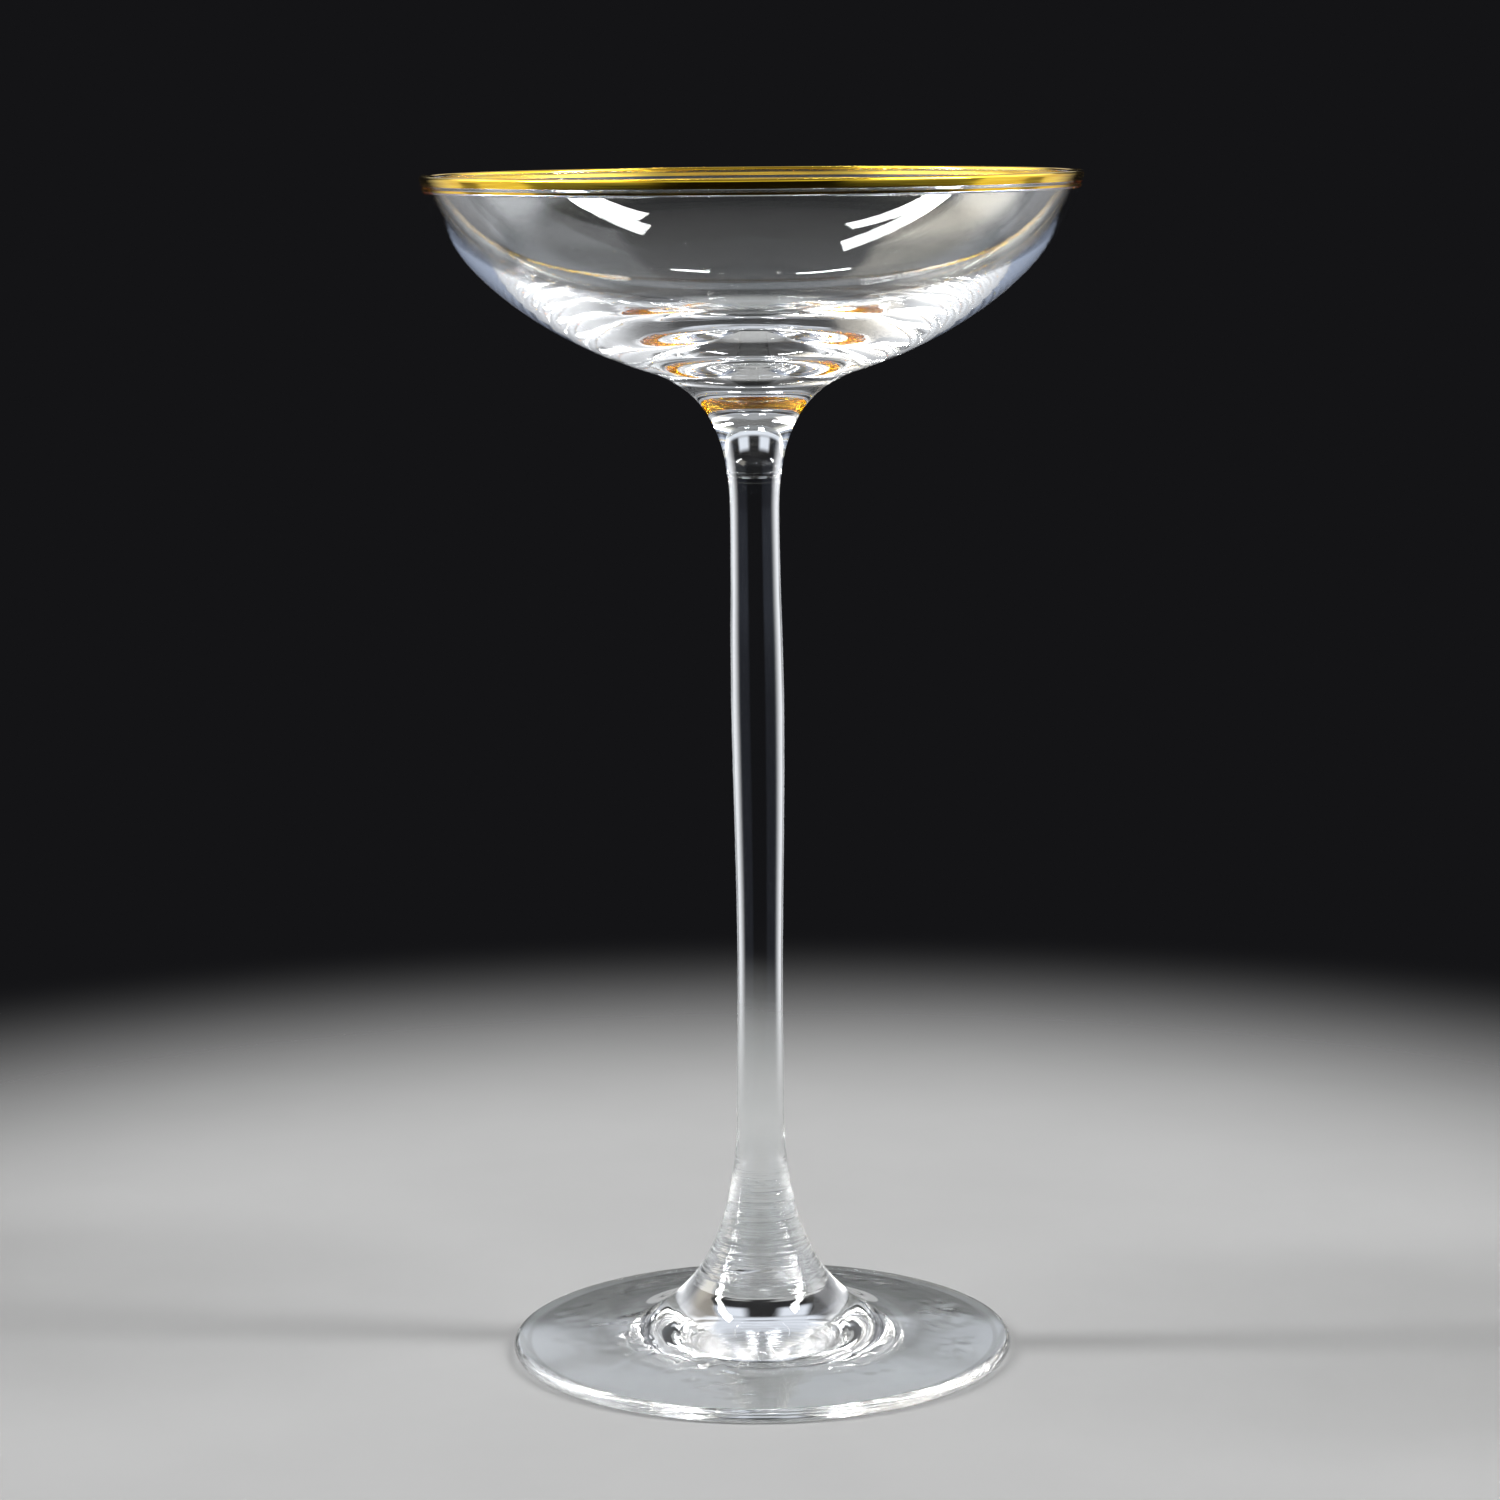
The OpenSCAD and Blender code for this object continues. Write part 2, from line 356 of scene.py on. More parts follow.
class Bend:
    """Curve in the plane of radius and height, with a tangent at either end."""

    def __init__(self, start, leave, end, reach):
        self.points = [start, start + leave, end - reach, end]

    def at(self, t):
        """Point at t, from 0 at the top to 1 at the bottom."""
        a, b, c, d = self.points
        s = 1 - t
        return s ** 3 * a + 3 * s * s * t * b + 3 * s * t * t * c + t ** 3 * d

    def along(self, t):
        """Direction at t."""
        a, b, c, d = self.points
        s = 1 - t
        return (s * s * (b - a) + 2 * s * t * (c - b) + t * t * (d - c)).normalized()

    def passes(self, z):
        """The t at which the curve, which runs downwards, passes a height."""
        low, high = 0.0, 1.0
        for _ in range(SEARCH_STEPS):
            middle = (low + high) / 2
            if self.at(middle).y > z:
                low = middle
            else:
                high = middle
        return low

    def run(self, t0, t1, count, set_back=0.0):
        """Points from t0 to t1, set back from the curve on the axis side."""
        points = []
        for i in range(count + 1):
            t = t0 + (t1 - t0) * i / count
            d = self.along(t)
            points.append(self.at(t) + set_back * Vector((d.y, -d.x)))
        return points


def arc(centre, radius, a0, a1, count):
    """Points round a centre from one angle to another."""
    turns = [a0 + (a1 - a0) * i / count for i in range(count + 1)]
    return [centre + radius * Vector((cos(a), sin(a))) for a in turns]


def ease(p, q, count):
    """Stem between two widths, which it leaves and reaches upright."""
    shares = [i / count for i in range(1, count + 1)]
    return [Vector((p.x + (q.x - p.x) * (1 - cos(pi * s)) / 2, p.y + (q.y - p.y) * s))
            for s in shares]


def rounded(low, high, x):
    """0 below low and 1 above high, with a smooth rise between them."""
    t = min(max((x - low) / (high - low), 0.0), 1.0)
    return t * t * (3 - 2 * t)


class Outlines:
    """The curves that the pieces of the glass share, from the sizes of the scene."""

    def __init__(self, saucer):
        bowl, stem, foot, gold = saucer.bowl, saucer.stem, saucer.foot, saucer.gold
        self.detail = saucer.detail
        lip_r = bowl.lip_t / 2
        self.lip_r = lip_r
        self.lean = bowl.lip_lean
        turn = Vector((bowl.turn_r, LIP_TOP - bowl.drop))
        floor = Vector((0, turn.y + bowl.floor_rise))
        neck = Vector((stem.neck_r, turn.y - bowl.funnel_l))
        self.lip_c = Vector((LIP_RADIUS - lip_r, LIP_TOP - lip_r))
        out_wall = Vector((cos(self.lean), -sin(self.lean)))
        down_wall = Vector((-sin(self.lean), -cos(self.lean)))
        down_turn = Vector((-cos(bowl.turn_slope), -sin(bowl.turn_slope)))
        down = Vector((0, -1))
        self.wall = Bend(
            self.lip_c + lip_r * out_wall, bowl.wall_from * bowl.drop * down_wall,
            turn, bowl.wall_into * (LIP_RADIUS - turn.x) * down_turn)
        self.inside = Bend(
            self.lip_c - lip_r * out_wall,
            bowl.inside_from * (LIP_TOP - floor.y) * down_wall,
            floor, bowl.inside_into * (LIP_RADIUS - bowl.lip_t) * Vector((-1, 0)))
        self.funnel = Bend(
            turn, bowl.funnel_from * (turn.x - neck.x) * down_turn,
            neck, bowl.funnel_into * bowl.funnel_l * down)

        edge_r = foot.edge_t / 2
        self.edge_r = edge_r
        self.edge_c = Vector((FOOT_RADIUS - edge_r, edge_r))
        down_top = Vector((cos(foot.slope), -sin(foot.slope)))
        top_end = self.edge_c + edge_r * Vector((sin(foot.slope), cos(foot.slope)))
        riser_end = top_end - (top_end.x - foot.riser_r) / cos(foot.slope) * down_top
        root = Vector((stem.root_r, stem.root_z))
        self.riser = Bend(
            root, foot.riser_from * (root.y - riser_end.y) * down,
            riser_end, foot.riser_into * (riser_end.x - root.x) * down_top)

        self.band_t = self.wall.passes(LIP_TOP - gold.band_h)
        self.line_top_t = self.wall.passes(LIP_TOP - gold.band_h - gold.line_gap)
        self.line_low_t = self.wall.passes(
            LIP_TOP - gold.band_h - gold.line_gap - gold.line_w)
        self.bowl_joint_t = self.funnel.passes(STEM_TOP)
        self.foot_joint_t = self.riser.passes(STEM_LOW)

    def band_path(self, set_back):
        """Over the lip and down the wall to the end of the band, set back from it."""
        over = arc(self.lip_c, self.lip_r - set_back, pi - self.lean, -self.lean,
                   self.detail.lip)
        return over + self.wall.run(0, self.band_t, self.detail.gold, set_back)[1:]

    def line_path(self, set_back):
        """Down the wall along the fine line, set back from it."""
        return self.wall.run(self.line_top_t, self.line_low_t, self.detail.gold, set_back)


def turned(outline, count, closed=False):
    """Spins an outline about the axis, and merges its seam and its poles."""
    bm = bmesh.new()
    row = [bm.verts.new((p.x, 0, p.y)) for p in outline]
    edges = [bm.edges.new(pair) for pair in zip(row, row[1:])]
    if closed:
        edges.append(bm.edges.new((row[-1], row[0])))
    bmesh.ops.spin(bm, geom=row + edges, axis=UP, cent=(0, 0, 0),
                   angle=2 * pi, steps=count, use_merge=True)
    bmesh.ops.remove_doubles(bm, verts=bm.verts, dist=SAME_PLACE)
    bmesh.ops.recalc_face_normals(bm, faces=bm.faces)
    return bm


def fuse(bm, heights):
    """Gives the flat faces at the fused joints the second slot, with a crisp rim."""
    for face in bm.faces:
        face.smooth = True
        if any(all(abs(v.co.z - z) < SAME_PLACE for v in face.verts) for z in heights):
            face.material_index = 1
    for edge in bm.edges:
        edge.smooth = len({face.material_index for face in edge.link_faces}) == 1


def placed(bm, name, materials):
    """Makes the mesh an object of the scene, with its materials."""
    mesh = bpy.data.meshes.new(name)
    bm.to_mesh(mesh)
    bm.free()
    for material in materials:
        mesh.materials.append(material)
    item = bpy.data.objects.new(name, mesh)
    bpy.context.scene.collection.objects.link(item)
    return item


def finished(bm, name, node, materials):
    """Makes the mesh a piece of the glass that stands for its CAD node."""
    piece = placed(bm, name, materials)
    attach(piece, ROOT)
    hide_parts(node)


def out_of_round(co):
    """Step that pulls a point in, least towards +X and -X, as a hand-made glass is."""
    side = (1 - cos(2 * atan2(co.y, co.x))) / 2
    return Vector((co.x, co.y, 0)).normalized() * (-PULLED_IN - OUT_OF_ROUND * side)


def bowed(co, bow):
    """Step that bows the stem sideways between its joints."""
    up = (co.z - STEM_LOW) / (STEM_TOP - STEM_LOW)
    return Vector((bow * sin(pi * up) ** 2, 0, 0)) if 0 < up < 1 else Vector()


def threads(co, foot):
    """Height of the tool marks that wind up the riser."""
    fade = rounded(*THREADS_FROM, co.z) * (1 - rounded(*THREADS_TO, co.z))
    if fade == 0:
        return 0.0
    turn = atan2(co.y, co.x)
    patch = noise.noise(Vector((co.x, co.y, THREAD_PATCH_FLAT * co.z)) / THREAD_PATCH)
    phase = 2 * pi * co.z / foot.thread_l - turn + THREAD_WANDER * patch
    depth = foot.thread_h * fade * (THREAD_SHARE + THREAD_CHANGE_SHARE * patch)
    return depth * sin(phase)


class MakeBowl(bpy.types.Operator):
    """Blow the bowl with its funnel, solid below the floor"""
    bl_idname = "stemware.make_bowl"
    bl_label = "Bowl"

    def execute(self, context):
        saucer = context.scene.saucer
        lines, detail, gold = Outlines(saucer), saucer.detail, saucer.gold
        outline = lines.inside.run(0, 1, detail.wall)[::-1]
        outline += lines.band_path(gold.thick)
        outline += lines.wall.run(lines.band_t, lines.line_top_t, detail.gold)
        outline += lines.line_path(gold.thick)
        outline += lines.wall.run(lines.line_low_t, 1, detail.wall)
        outline += lines.funnel.run(0, lines.bowl_joint_t, detail.funnel)[1:]
        outline.append(Vector((0, STEM_TOP)))
        bm = turned(outline, detail.round_bowl)
        fuse(bm, [STEM_TOP])
        bm.normal_update()
        sizes = saucer.bowl
        calm_from, calm_to = (LIP_TOP - depth for depth in WAVES_CALM)
        for v in bm.verts:
            co = v.co
            fade = rounded(STEM_TOP, STEM_TOP + WAVES_FULL, co.z)
            fade *= 1 - WAVES_CALM_SHARE * rounded(calm_from, calm_to, co.z)
            r = hypot(co.x, co.y)
            ring = (co.z + r) / sizes.wave_l + (WAVE_INSIDE if v.normal.z > 0 else 0.0)
            where = Vector((co.x / WAVE_REACH, co.y / WAVE_REACH, ring))
            co += v.normal * sizes.wave * fade * noise.noise(where)
            co += out_of_round(co) if r > 0 else Vector()
        finished(bm, "glass_bowl", "bowl", glass_materials(saucer.finish))
        return {"FINISHED"}


class MakeStem(bpy.types.Operator):
    """Draw the solid stem, with the weld bead under the bowl's joint"""
    bl_idname = "stemware.make_stem"
    bl_label = "Stem"

    def execute(self, context):
        saucer = context.scene.saucer
        lines, detail, stem = Outlines(saucer), saucer.detail, saucer.stem
        neck, root = lines.funnel.at(1), lines.riser.at(0)
        rise = neck.y - root.y
        belly = Vector((stem.belly_r, root.y + stem.belly_up * rise))
        waist = Vector((stem.waist_r, root.y + stem.waist_up * rise))
        upper = lines.funnel.run(lines.bowl_joint_t, 1, detail.funnel)
        outline = [Vector((0, STEM_TOP))] + upper
        outline += ease(neck, belly, detail.stem) + ease(belly, waist, detail.stem)
        outline += ease(waist, root, detail.stem)
        outline += lines.riser.run(0, lines.foot_joint_t, detail.riser)[1:]
        outline.append(Vector((0, STEM_LOW)))
        bm = turned(outline, detail.round_stem)
        fuse(bm, [STEM_LOW, STEM_TOP])
        for v in bm.verts:
            co = v.co
            r = hypot(co.x, co.y)
            if r > 0:
                out = Vector((co.x, co.y, 0)) / r
                fade = rounded(STEM_LOW, STEM_WAVE_FROM, co.z)
                fade *= 1 - rounded(STEM_WAVE_TO, STEM_TOP, co.z)
                wave = STEM_WAVE * fade * noise.noise(co * STEM_GRAIN)
                bead = (STEM_TOP - co.z - stem.bead_w / 2) / (stem.bead_w / 2)
                swell = stem.bead_proud * sqrt(1 - bead * bead) if abs(bead) < 1 else 0.0
                co += out * (wave + swell + threads(co, saucer.foot))
                co += out_of_round(co)
            co += bowed(co, stem.bow)
        finished(bm, "glass_stem", "stem", glass_materials(saucer.finish))
        return {"FINISHED"}


class MakeFoot(bpy.types.Operator):
    """Spin the round foot with its riser and the hollow underneath"""
    bl_idname = "stemware.make_foot"
    bl_label = "Foot"

    def execute(self, context):
        saucer = context.scene.saucer
        lines, detail, foot = Outlines(saucer), saucer.detail, saucer.foot
        stand_in = lines.edge_c.x - foot.stand_w
        arch_r = (stand_in ** 2 + foot.arch_h ** 2) / (2 * foot.arch_h)
        arch_a = asin(stand_in / arch_r)
        outline = [Vector((0, STEM_LOW))]
        outline += lines.riser.run(lines.foot_joint_t, 1, detail.riser)
        outline += arc(lines.edge_c, lines.edge_r, pi / 2 - foot.slope, -pi / 2, detail.edge)
        outline += arc(Vector((0, foot.arch_h - arch_r)), arch_r, pi / 2 - arch_a, pi / 2,
                       detail.arch)
        bm = turned(outline, detail.round_foot)
        fuse(bm, [STEM_LOW])
        bm.normal_update()
        noise.seed_set(CURL_SEED)
        for v in bm.verts:
            co = v.co
            r = hypot(co.x, co.y)
            if r == 0:
                continue
            if v.normal.z < FACING_DOWN:
                fade = rounded(*WRINKLES_FROM, r) * (1 - rounded(*WRINKLES_TO, r))
                deep = rounded(*WRINKLE_PATCH_NOISE, noise.noise(co / WRINKLE_PATCH))
                curl = noise.noise_vector(co / CURL_L) * CURL_REACH
                ripple = noise.noise((co + curl) / WRINKLE_L)
                co.z += foot.wrinkle_h * fade * (WRINKLE_SHARE + deep) * ripple
            else:
                co += Vector((co.x, co.y, 0)) / r * threads(co, foot)
            co += out_of_round(co)
        finished(bm, "glass_foot", "foot", glass_materials(saucer.finish))
        return {"FINISHED"}


class FireGold(bpy.types.Operator):
    """Fire the gold band over the lip, and the fine line under it"""
    bl_idname = "stemware.fire_gold"
    bl_label = "Gold band and line"

    def execute(self, context):
        saucer = context.scene.saucer
        lines, detail, gold = Outlines(saucer), saucer.detail, saucer.gold
        material = gold_material(saucer.finish)
        for node, path in (("gold_band", lines.band_path), ("gold_line", lines.line_path)):
            outline = path(0) + path(gold.thick + gold.sunk)[::-1]
            bm = turned(outline, detail.round_bowl, closed=True)
            for face in bm.faces:
                face.smooth = True
            for edge in bm.edges:
                edge.smooth = edge.calc_face_angle(0) < GOLD_CREASE
            for v in bm.verts:
                v.co += out_of_round(v.co)
            finished(bm, "fired_" + node, node, [material])
        return {"FINISHED"}


def shader(name):
    """A new material, its node tree and its main shader."""
    material = bpy.data.materials.new(name)
    material.use_nodes = True
    tree = material.node_tree
    return material, tree, tree.nodes["Principled BSDF"]


def add(tree, kind, **values):
    """Adds a node, and sets its properties and then its inputs by name."""
    node = tree.nodes.new(kind)
    for key, value in values.items():
        if hasattr(node, key):
            setattr(node, key, value)
        else:
            node.inputs[key.replace("_", " ")].default_value = value
    return node


def place(tree):
    """Object coordinates of the surface."""
    return add(tree, "ShaderNodeTexCoord").outputs["Object"]


def grain(tree, scale, detail, low, high, least=0, most=1):
    """Noise on stretched Object coordinates, spread out between two of its values."""
    mapping = add(tree, "ShaderNodeMapping", Scale=scale)
    tree.links.new(place(tree), mapping.inputs["Vector"])
    texture = add(tree, "ShaderNodeTexNoise", Scale=1.0, Detail=detail)
    tree.links.new(mapping.outputs["Vector"], texture.inputs["Vector"])
    spread = add(tree, "ShaderNodeMapRange",
                 From_Min=low, From_Max=high, To_Min=least, To_Max=most)
    tree.links.new(texture.outputs["Fac"], spread.inputs["Value"])
    return spread.outputs["Result"]


def between(tree, factor, a, b):
    """Mixes two colours, or colour sockets, by a factor."""
    mix = add(tree, "ShaderNodeMix", data_type="RGBA")
    tree.links.new(factor, mix.inputs["Factor"])
    for name, value in (("A_Color", a), ("B_Color", b)):
        entry = next(entry for entry in mix.inputs if entry.identifier == name)
        if isinstance(value, bpy.types.NodeSocket):
            tree.links.new(value, entry)
        else:
            entry.default_value = (*value, 1)
    return next(entry for entry in mix.outputs if entry.identifier == "Result_Color")


def bump(tree, height, strength, distance, socket):
    """Roughens the normals of a shader by a height."""
    node = add(tree, "ShaderNodeBump", Strength=strength, Distance=distance)
    tree.links.new(height, node.inputs["Height"])
    tree.links.new(node.outputs["Normal"], socket)


def glass_materials(finish):
    """Clear glass, and the fused faces inside it, where light passes unbent."""
    if "blown_glass" in bpy.data.materials:
        return [bpy.data.materials[name] for name in ("blown_glass", "fused_joint")]
    glass, tree, main = shader("blown_glass")
    main.inputs["Transmission Weight"].default_value = 1
    main.inputs["IOR"].default_value = GLASS_IOR
    streak = grain(tree, **STREAK)
    tree.links.new(between(tree, streak, finish.glass, finish.glass_deep),
                   main.inputs["Base Color"])
    tree.links.new(grain(tree, **SMEAR), main.inputs["Roughness"])
    up = dot(tree, place(tree), UP)
    worked = product(tree, ramp(tree, up, *MARKS_FROM), ramp(tree, up, *MARKS_TO))
    marks = product(tree, grain(tree, **MARKS), worked)
    bump(tree, total(tree, grain(tree, **PEEL), marks), 1, MARK_DEPTH,
         main.inputs["Normal"])

    fused = bpy.data.materials.new("fused_joint")
    fused.use_nodes = True
    tree = fused.node_tree
    tree.nodes.remove(tree.nodes["Principled BSDF"])
    clear = add(tree, "ShaderNodeBsdfTransparent")
    tree.links.new(clear.outputs["BSDF"], tree.nodes["Material Output"].inputs["Surface"])
    return [glass, fused]


def gold_material(finish):
    """Burnished gold, brushed on by hand round the turning glass."""
    gold, tree, main = shader("brushed_gold")
    main.inputs["Metallic"].default_value = 1
    stroke = grain(tree, **STROKE)
    tree.links.new(between(tree, stroke, finish.gold, finish.gold_deep),
                   main.inputs["Base Color"])
    tree.links.new(grain(tree, **RUB), main.inputs["Roughness"])
    bump(tree, stroke, STROKE_SHARE, STROKE_DEPTH, main.inputs["Normal"])
    return gold


class Softbox:
    """Light of the studio, seen in the glass and the gold but not by the camera."""

    def __init__(self, name, *degrees):
        """Takes a row of SOFTBOXES, and puts its lamp into the scene."""
        turn, up, lean, width, height = (radians(value) for value in degrees)
        self.half_width = tan(width / 2)
        self.half_height = tan(height / 2)
        away = Vector((sin(turn) * cos(up), -cos(turn) * cos(up), sin(up)))
        self.facing = (away.to_track_quat("Z", "Y").to_matrix().to_4x4()
                       @ Matrix.Rotation(lean, 4, "Z"))
        light = bpy.data.lights.new(name, "AREA")
        light.shape = "RECTANGLE"
        light.size = 2 * self.half_width * SOFTBOX_FAR
        light.size_y = 2 * self.half_height * SOFTBOX_FAR
        light.energy = SOFTBOX_GLOW * light.size * light.size_y
        lamp = bpy.data.objects.new(name, light)
        lamp.matrix_world = Matrix.Translation(BOWL_BACK + SOFTBOX_FAR * away) @ self.facing
        lamp.visible_camera = False
        bpy.context.scene.collection.objects.link(lamp)

    def covers(self, tree, direction):
        """1 for a direction that points at the light, and 0 for any other."""
        side, up, away = (dot(tree, direction, axis.xyz) for axis in self.facing.col[:3])
        inside = compute(tree, "GREATER_THAN", away, 0)
        for part, half in ((side, self.half_width), (up, self.half_height)):
            off = compute(tree, "ABSOLUTE", compute(tree, "DIVIDE", part, away))
            inside = product(tree, inside, compute(tree, "LESS_THAN", off, half))
        return inside


def seen(tree):
    """1 for what the eye, a mirror or the glass sees, and 0 for light on the floor."""
    path = add(tree, "ShaderNodeLightPath")
    camera, glossy, through = (
        path.outputs[ray] for ray in ("Is Camera Ray", "Is Glossy Ray", "Is Transmission Ray"))
    return compute(tree, "MAXIMUM", camera, compute(tree, "MAXIMUM", glossy, through))


def unscattered(tree):
    """1 for light that has met no matt surface on its way to the eye, and 0 for the rest."""
    path = add(tree, "ShaderNodeLightPath")
    return compute(tree, "LESS_THAN", path.outputs["Diffuse Depth"], BEFORE_FIRST_BOUNCE)


def ramp(tree, value, low, high, curve="SMOOTHSTEP"):
    """0 where the value is at low and 1 where it is at high, clamped."""
    node = add(tree, "ShaderNodeMapRange", interpolation_type=curve,
               From_Min=low, From_Max=high)
    tree.links.new(value, node.inputs["Value"])
    return node.outputs["Result"]


def compute(tree, operation, *values):
    """Math on sockets and numbers."""
    node = add(tree, "ShaderNodeMath", operation=operation)
    for entry, value in zip(node.inputs, values):
        if isinstance(value, (int, float)):
            entry.default_value = value
        else:
            tree.links.new(value, entry)
    return node.outputs["Value"]


def product(tree, first, *others):
    """All of the values multiplied."""
    for other in others:
        first = compute(tree, "MULTIPLY", first, other)
    return first


def total(tree, first, *others):
    """All of the values added up."""
    for other in others:
        first = compute(tree, "ADD", first, other)
    return first


def dot(tree, vector, axis):
    """How far a vector runs along an axis."""
    node = add(tree, "ShaderNodeVectorMath", operation="DOT_PRODUCT")
    tree.links.new(vector, node.inputs[0])
    node.inputs[1].default_value = axis
    return node.outputs["Value"]


def patch(tree, turn, height, turns, heights):
    """1 inside a patch of the surroundings, and 0 round it, with soft edges."""
    parts = []
    for value, (start, full, last, end) in ((turn, [radians(t) for t in turns]),
                                            (height, heights)):
        parts += [ramp(tree, value, start, full), ramp(tree, value, end, last)]
    return product(tree, *parts)


def blend(tree, fade, first, second, output):
    """Sends the output one shader where the fade is 0, and another where it is 1."""
    mix = add(tree, "ShaderNodeMixShader")
    tree.links.new(fade, mix.inputs["Fac"])
    tree.links.new(first, mix.inputs[1])
    tree.links.new(second, mix.inputs[2])
    tree.links.new(mix.outputs["Shader"], tree.nodes[output].inputs["Surface"])


def surround(finish, softboxes):
    """World as it is seen: dark backdrop, pale dome, panels and walls, and the lights."""
    world = bpy.data.worlds.new("studio")
    bpy.context.scene.world = world
    world.use_nodes = True
    tree = world.node_tree
    shown = tree.nodes["Background"]
    direction = add(tree, "ShaderNodeTexCoord").outputs["Generated"]
    x, y, height = (dot(tree, direction, axis) for axis in Matrix.Identity(3))
    heading = compute(tree, "ARCTAN2", x, compute(tree, "MULTIPLY", y, -1))
    turn = compute(tree, "ABSOLUTE", heading)

    post = patch(tree, turn, height, POST_TURNS, POST_HEIGHTS)
    sides = product(tree, patch(tree, turn, height, SIDE_TURNS, SIDE_HEIGHTS),
                    compute(tree, "MULTIPLY_ADD", post, -POST_SHARE, 1))
    front = patch(tree, turn, height, FRONT_TURNS, FRONT_HEIGHTS)
    apron = patch(tree, turn, height, FRONT_TURNS, APRON_HEIGHTS)
    eaves = patch(tree, turn, height, EAVES_TURNS, EAVES_HEIGHTS)
    gap = patch(tree, turn, height, GAP_TURNS, GAP_HEIGHTS)
    left_wall = patch(tree, heading, height, LEFT_WALL_TURNS, WALL_HEIGHTS)
    right_wall = patch(tree, heading, height, RIGHT_WALL_TURNS, WALL_HEIGHTS)
    overhead = between(tree, ramp(tree, height, *DOME_TOP_HEIGHTS), finish.dome,
                       finish.dome_top)
    behind = between(tree, ramp(tree, height, *DOME_BACK_HEIGHTS), finish.dome_back,
                     finish.dome_high)
    backwards = ramp(tree, turn, *(radians(t) for t in DOME_TURNS))
    overhead = between(tree, backwards, overhead, behind)
    colours = between(tree, ramp(tree, height, *DOME_HEIGHTS), finish.backdrop, overhead)
    colours = between(tree, gap, colours, finish.dome_back)
    front = total(tree, front, product(tree, apron, APRON_SHARE))
    colours = between(tree, front, colours, finish.front)
    colours = between(tree, total(tree, sides, eaves, right_wall), colours, finish.panel)
    colours = between(tree, left_wall, colours, finish.left_wall)
    tree.links.new(colours, shown.inputs["Color"])

    lights = total(tree, *(box.covers(tree, direction) for box in softboxes))
    shine = total(tree, product(tree, lights, SOFTBOX_SHINE),
                  product(tree, eaves, EAVES_SHINE),
                  product(tree, left_wall, LEFT_WALL_SHINE),
                  product(tree, right_wall, RIGHT_WALL_SHINE))
    tree.links.new(compute(tree, "MULTIPLY_ADD", shine, unscattered(tree), 1),
                   shown.inputs["Strength"])
    fill = add(tree, "ShaderNodeBackground", Strength=FLOOR_FILL)
    blend(tree, seen(tree), fill.outputs["Background"], shown.outputs["Background"],
          "World Output")


def matt(name, roughness):
    """A new material without gloss, its node tree and its main shader."""
    material, tree, main = shader(name)
    main.inputs["Roughness"].default_value = roughness
    main.inputs["Specular IOR Level"].default_value = 0
    return material, tree, main


def run_out(tree, main, fade):
    """Lets a surface run out into clear air where the fade goes from 0 to 1."""
    clear = add(tree, "ShaderNodeBsdfTransparent")
    blend(tree, fade, main.outputs["BSDF"], clear.outputs["BSDF"], "Material Output")


def floor_material(finish):
    """Pale matt floor that runs out into the backdrop's tone away from the glass."""
    floor, tree, main = matt("studio_floor", FLOOR_ROUGHNESS)
    darker = [FLOOR_MOTTLE_SHARE * value for value in finish.floor]
    tree.links.new(between(tree, grain(tree, **MOTTLE), finish.floor, darker),
                   main.inputs["Base Color"])
    far = add(tree, "ShaderNodeVectorMath", operation="LENGTH")
    tree.links.new(place(tree), far.inputs[0])
    run_out(tree, main, ramp(tree, far.outputs["Value"], *FLOOR_FADE, "SMOOTHERSTEP"))
    return floor


def card_material(name, tone):
    """Dark matt card, met only by light that was mirrored twice or more on its way."""
    material, tree, main = matt(name, 1)
    main.inputs["Base Color"].default_value = (tone, tone, tone, 1)
    fade = ramp(tree, dot(tree, place(tree), UP), *CARD_FADE)
    mirrored = add(tree, "ShaderNodeLightPath").outputs["Glossy Depth"]
    missed = compute(tree, "LESS_THAN", mirrored, BEFORE_SECOND_BOUNCE)
    run_out(tree, main, compute(tree, "MAXIMUM", fade, missed))
    return material


def low_card(name, start, end, tone):
    """Curved card beside the foot, from a row of CARDS."""
    start, end = radians(start), radians(end)
    bm = bmesh.new()
    low = bm.verts.new((CARD_FAR * sin(start), -CARD_FAR * cos(start), 0))
    high = bm.verts.new(low.co + Vector((0, 0, CARD_TOP)))
    bmesh.ops.spin(bm, geom=[low, high, bm.edges.new((low, high))], axis=UP,
                   cent=(0, 0, 0), angle=end - start, steps=CARD_FLATS)
    card = placed(bm, name, [card_material(name, tone)])
    card.visible_camera = card.visible_diffuse = card.visible_shadow = False


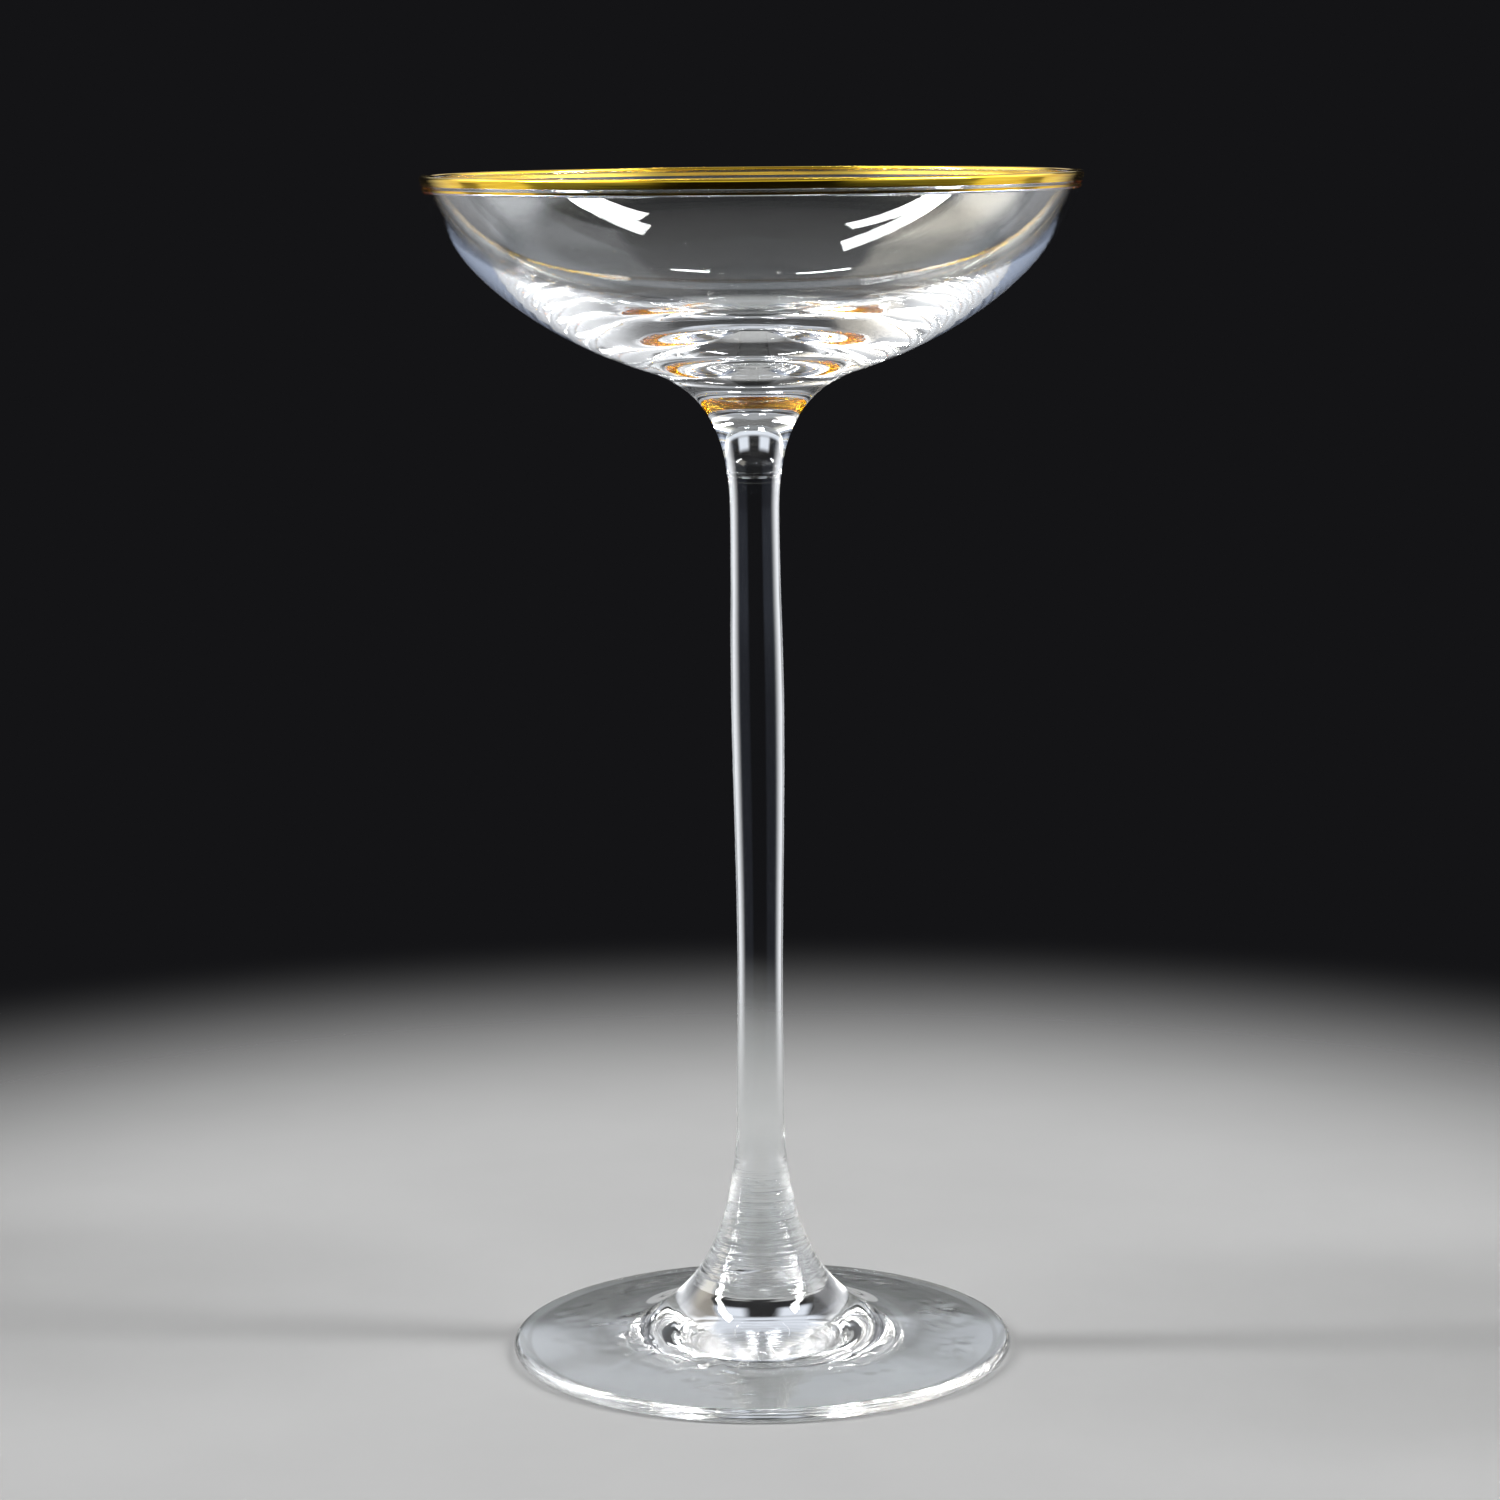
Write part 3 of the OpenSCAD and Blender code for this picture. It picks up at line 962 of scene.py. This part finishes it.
class SetStage(bpy.types.Operator):
    """Set up the camera, the floor, the backdrop and the soft lights"""
    bl_idname = "stemware.set_stage"
    bl_label = "Studio"

    def execute(self, context):
        scene = context.scene
        finish = scene.saucer.finish
        lens = bpy.data.cameras.new("camera")
        lens.lens = CAMERA_LENS
        camera = bpy.data.objects.new("camera", lens)
        camera.matrix_world = (
            Matrix.Translation(CAMERA_PLACE)
            @ Matrix.Rotation(pi / 2 - CAMERA_PITCH, 4, "X")
            @ Matrix.Rotation(-CAMERA_ROLL, 4, "Z"))
        scene.collection.objects.link(camera)
        scene.camera = camera

        bm = bmesh.new()
        bmesh.ops.create_circle(bm, cap_ends=True, radius=FLOOR_RADIUS, segments=FLOOR_FLATS,
                                matrix=Matrix.Translation((0, 0, -FLOOR_GAP)))
        placed(bm, "floor", [floor_material(finish)])
        for row in CARDS:
            low_card(*row)
        surround(finish, [Softbox(*row) for row in SOFTBOXES])

        scene.view_settings.view_transform = "Standard"
        scene.cycles.max_bounces = BOUNCES
        scene.cycles.transmission_bounces = BOUNCES
        scene.cycles.glossy_bounces = BOUNCES
        scene.cycles.transparent_max_bounces = CLEAR_BOUNCES
        scene.cycles.sample_clamp_indirect = SPARK_LIMIT
        return {"FINISHED"}


MAKERS = (MakeBowl, MakeStem, MakeFoot, FireGold, SetStage)


class StemwarePanel(bpy.types.Panel):
    """Steps that make the glass, and its sizes"""
    bl_idname = "VIEW3D_PT_stemware"
    bl_label = "Gold-rimmed saucer"
    bl_space_type = "VIEW_3D"
    bl_region_type = "UI"
    bl_category = "Stemware"

    def draw(self, context):
        for maker in MAKERS:
            self.layout.operator(maker.bl_idname)
        for group in SETTINGS:
            box = self.layout.box()
            settings = getattr(context.scene.saucer, group)
            for key in SETTINGS[group].__annotations__:
                box.prop(settings, key)


CLASSES = (*SETTINGS.values(), Saucer, *MAKERS, StemwarePanel)


def register():
    for cls in CLASSES:
        bpy.utils.register_class(cls)
    bpy.types.Scene.saucer = PointerProperty(
        type=Saucer, name="Saucer", description="Sizes and colours of the glass")


def unregister():
    del bpy.types.Scene.saucer
    for cls in reversed(CLASSES):
        bpy.utils.unregister_class(cls)


def main():
    register()
    bpy.ops.stemware.make_bowl()
    bpy.ops.stemware.make_stem()
    bpy.ops.stemware.make_foot()
    bpy.ops.stemware.fire_gold()
    bpy.ops.stemware.set_stage()
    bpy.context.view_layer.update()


if __name__ == "__main__":
    main()
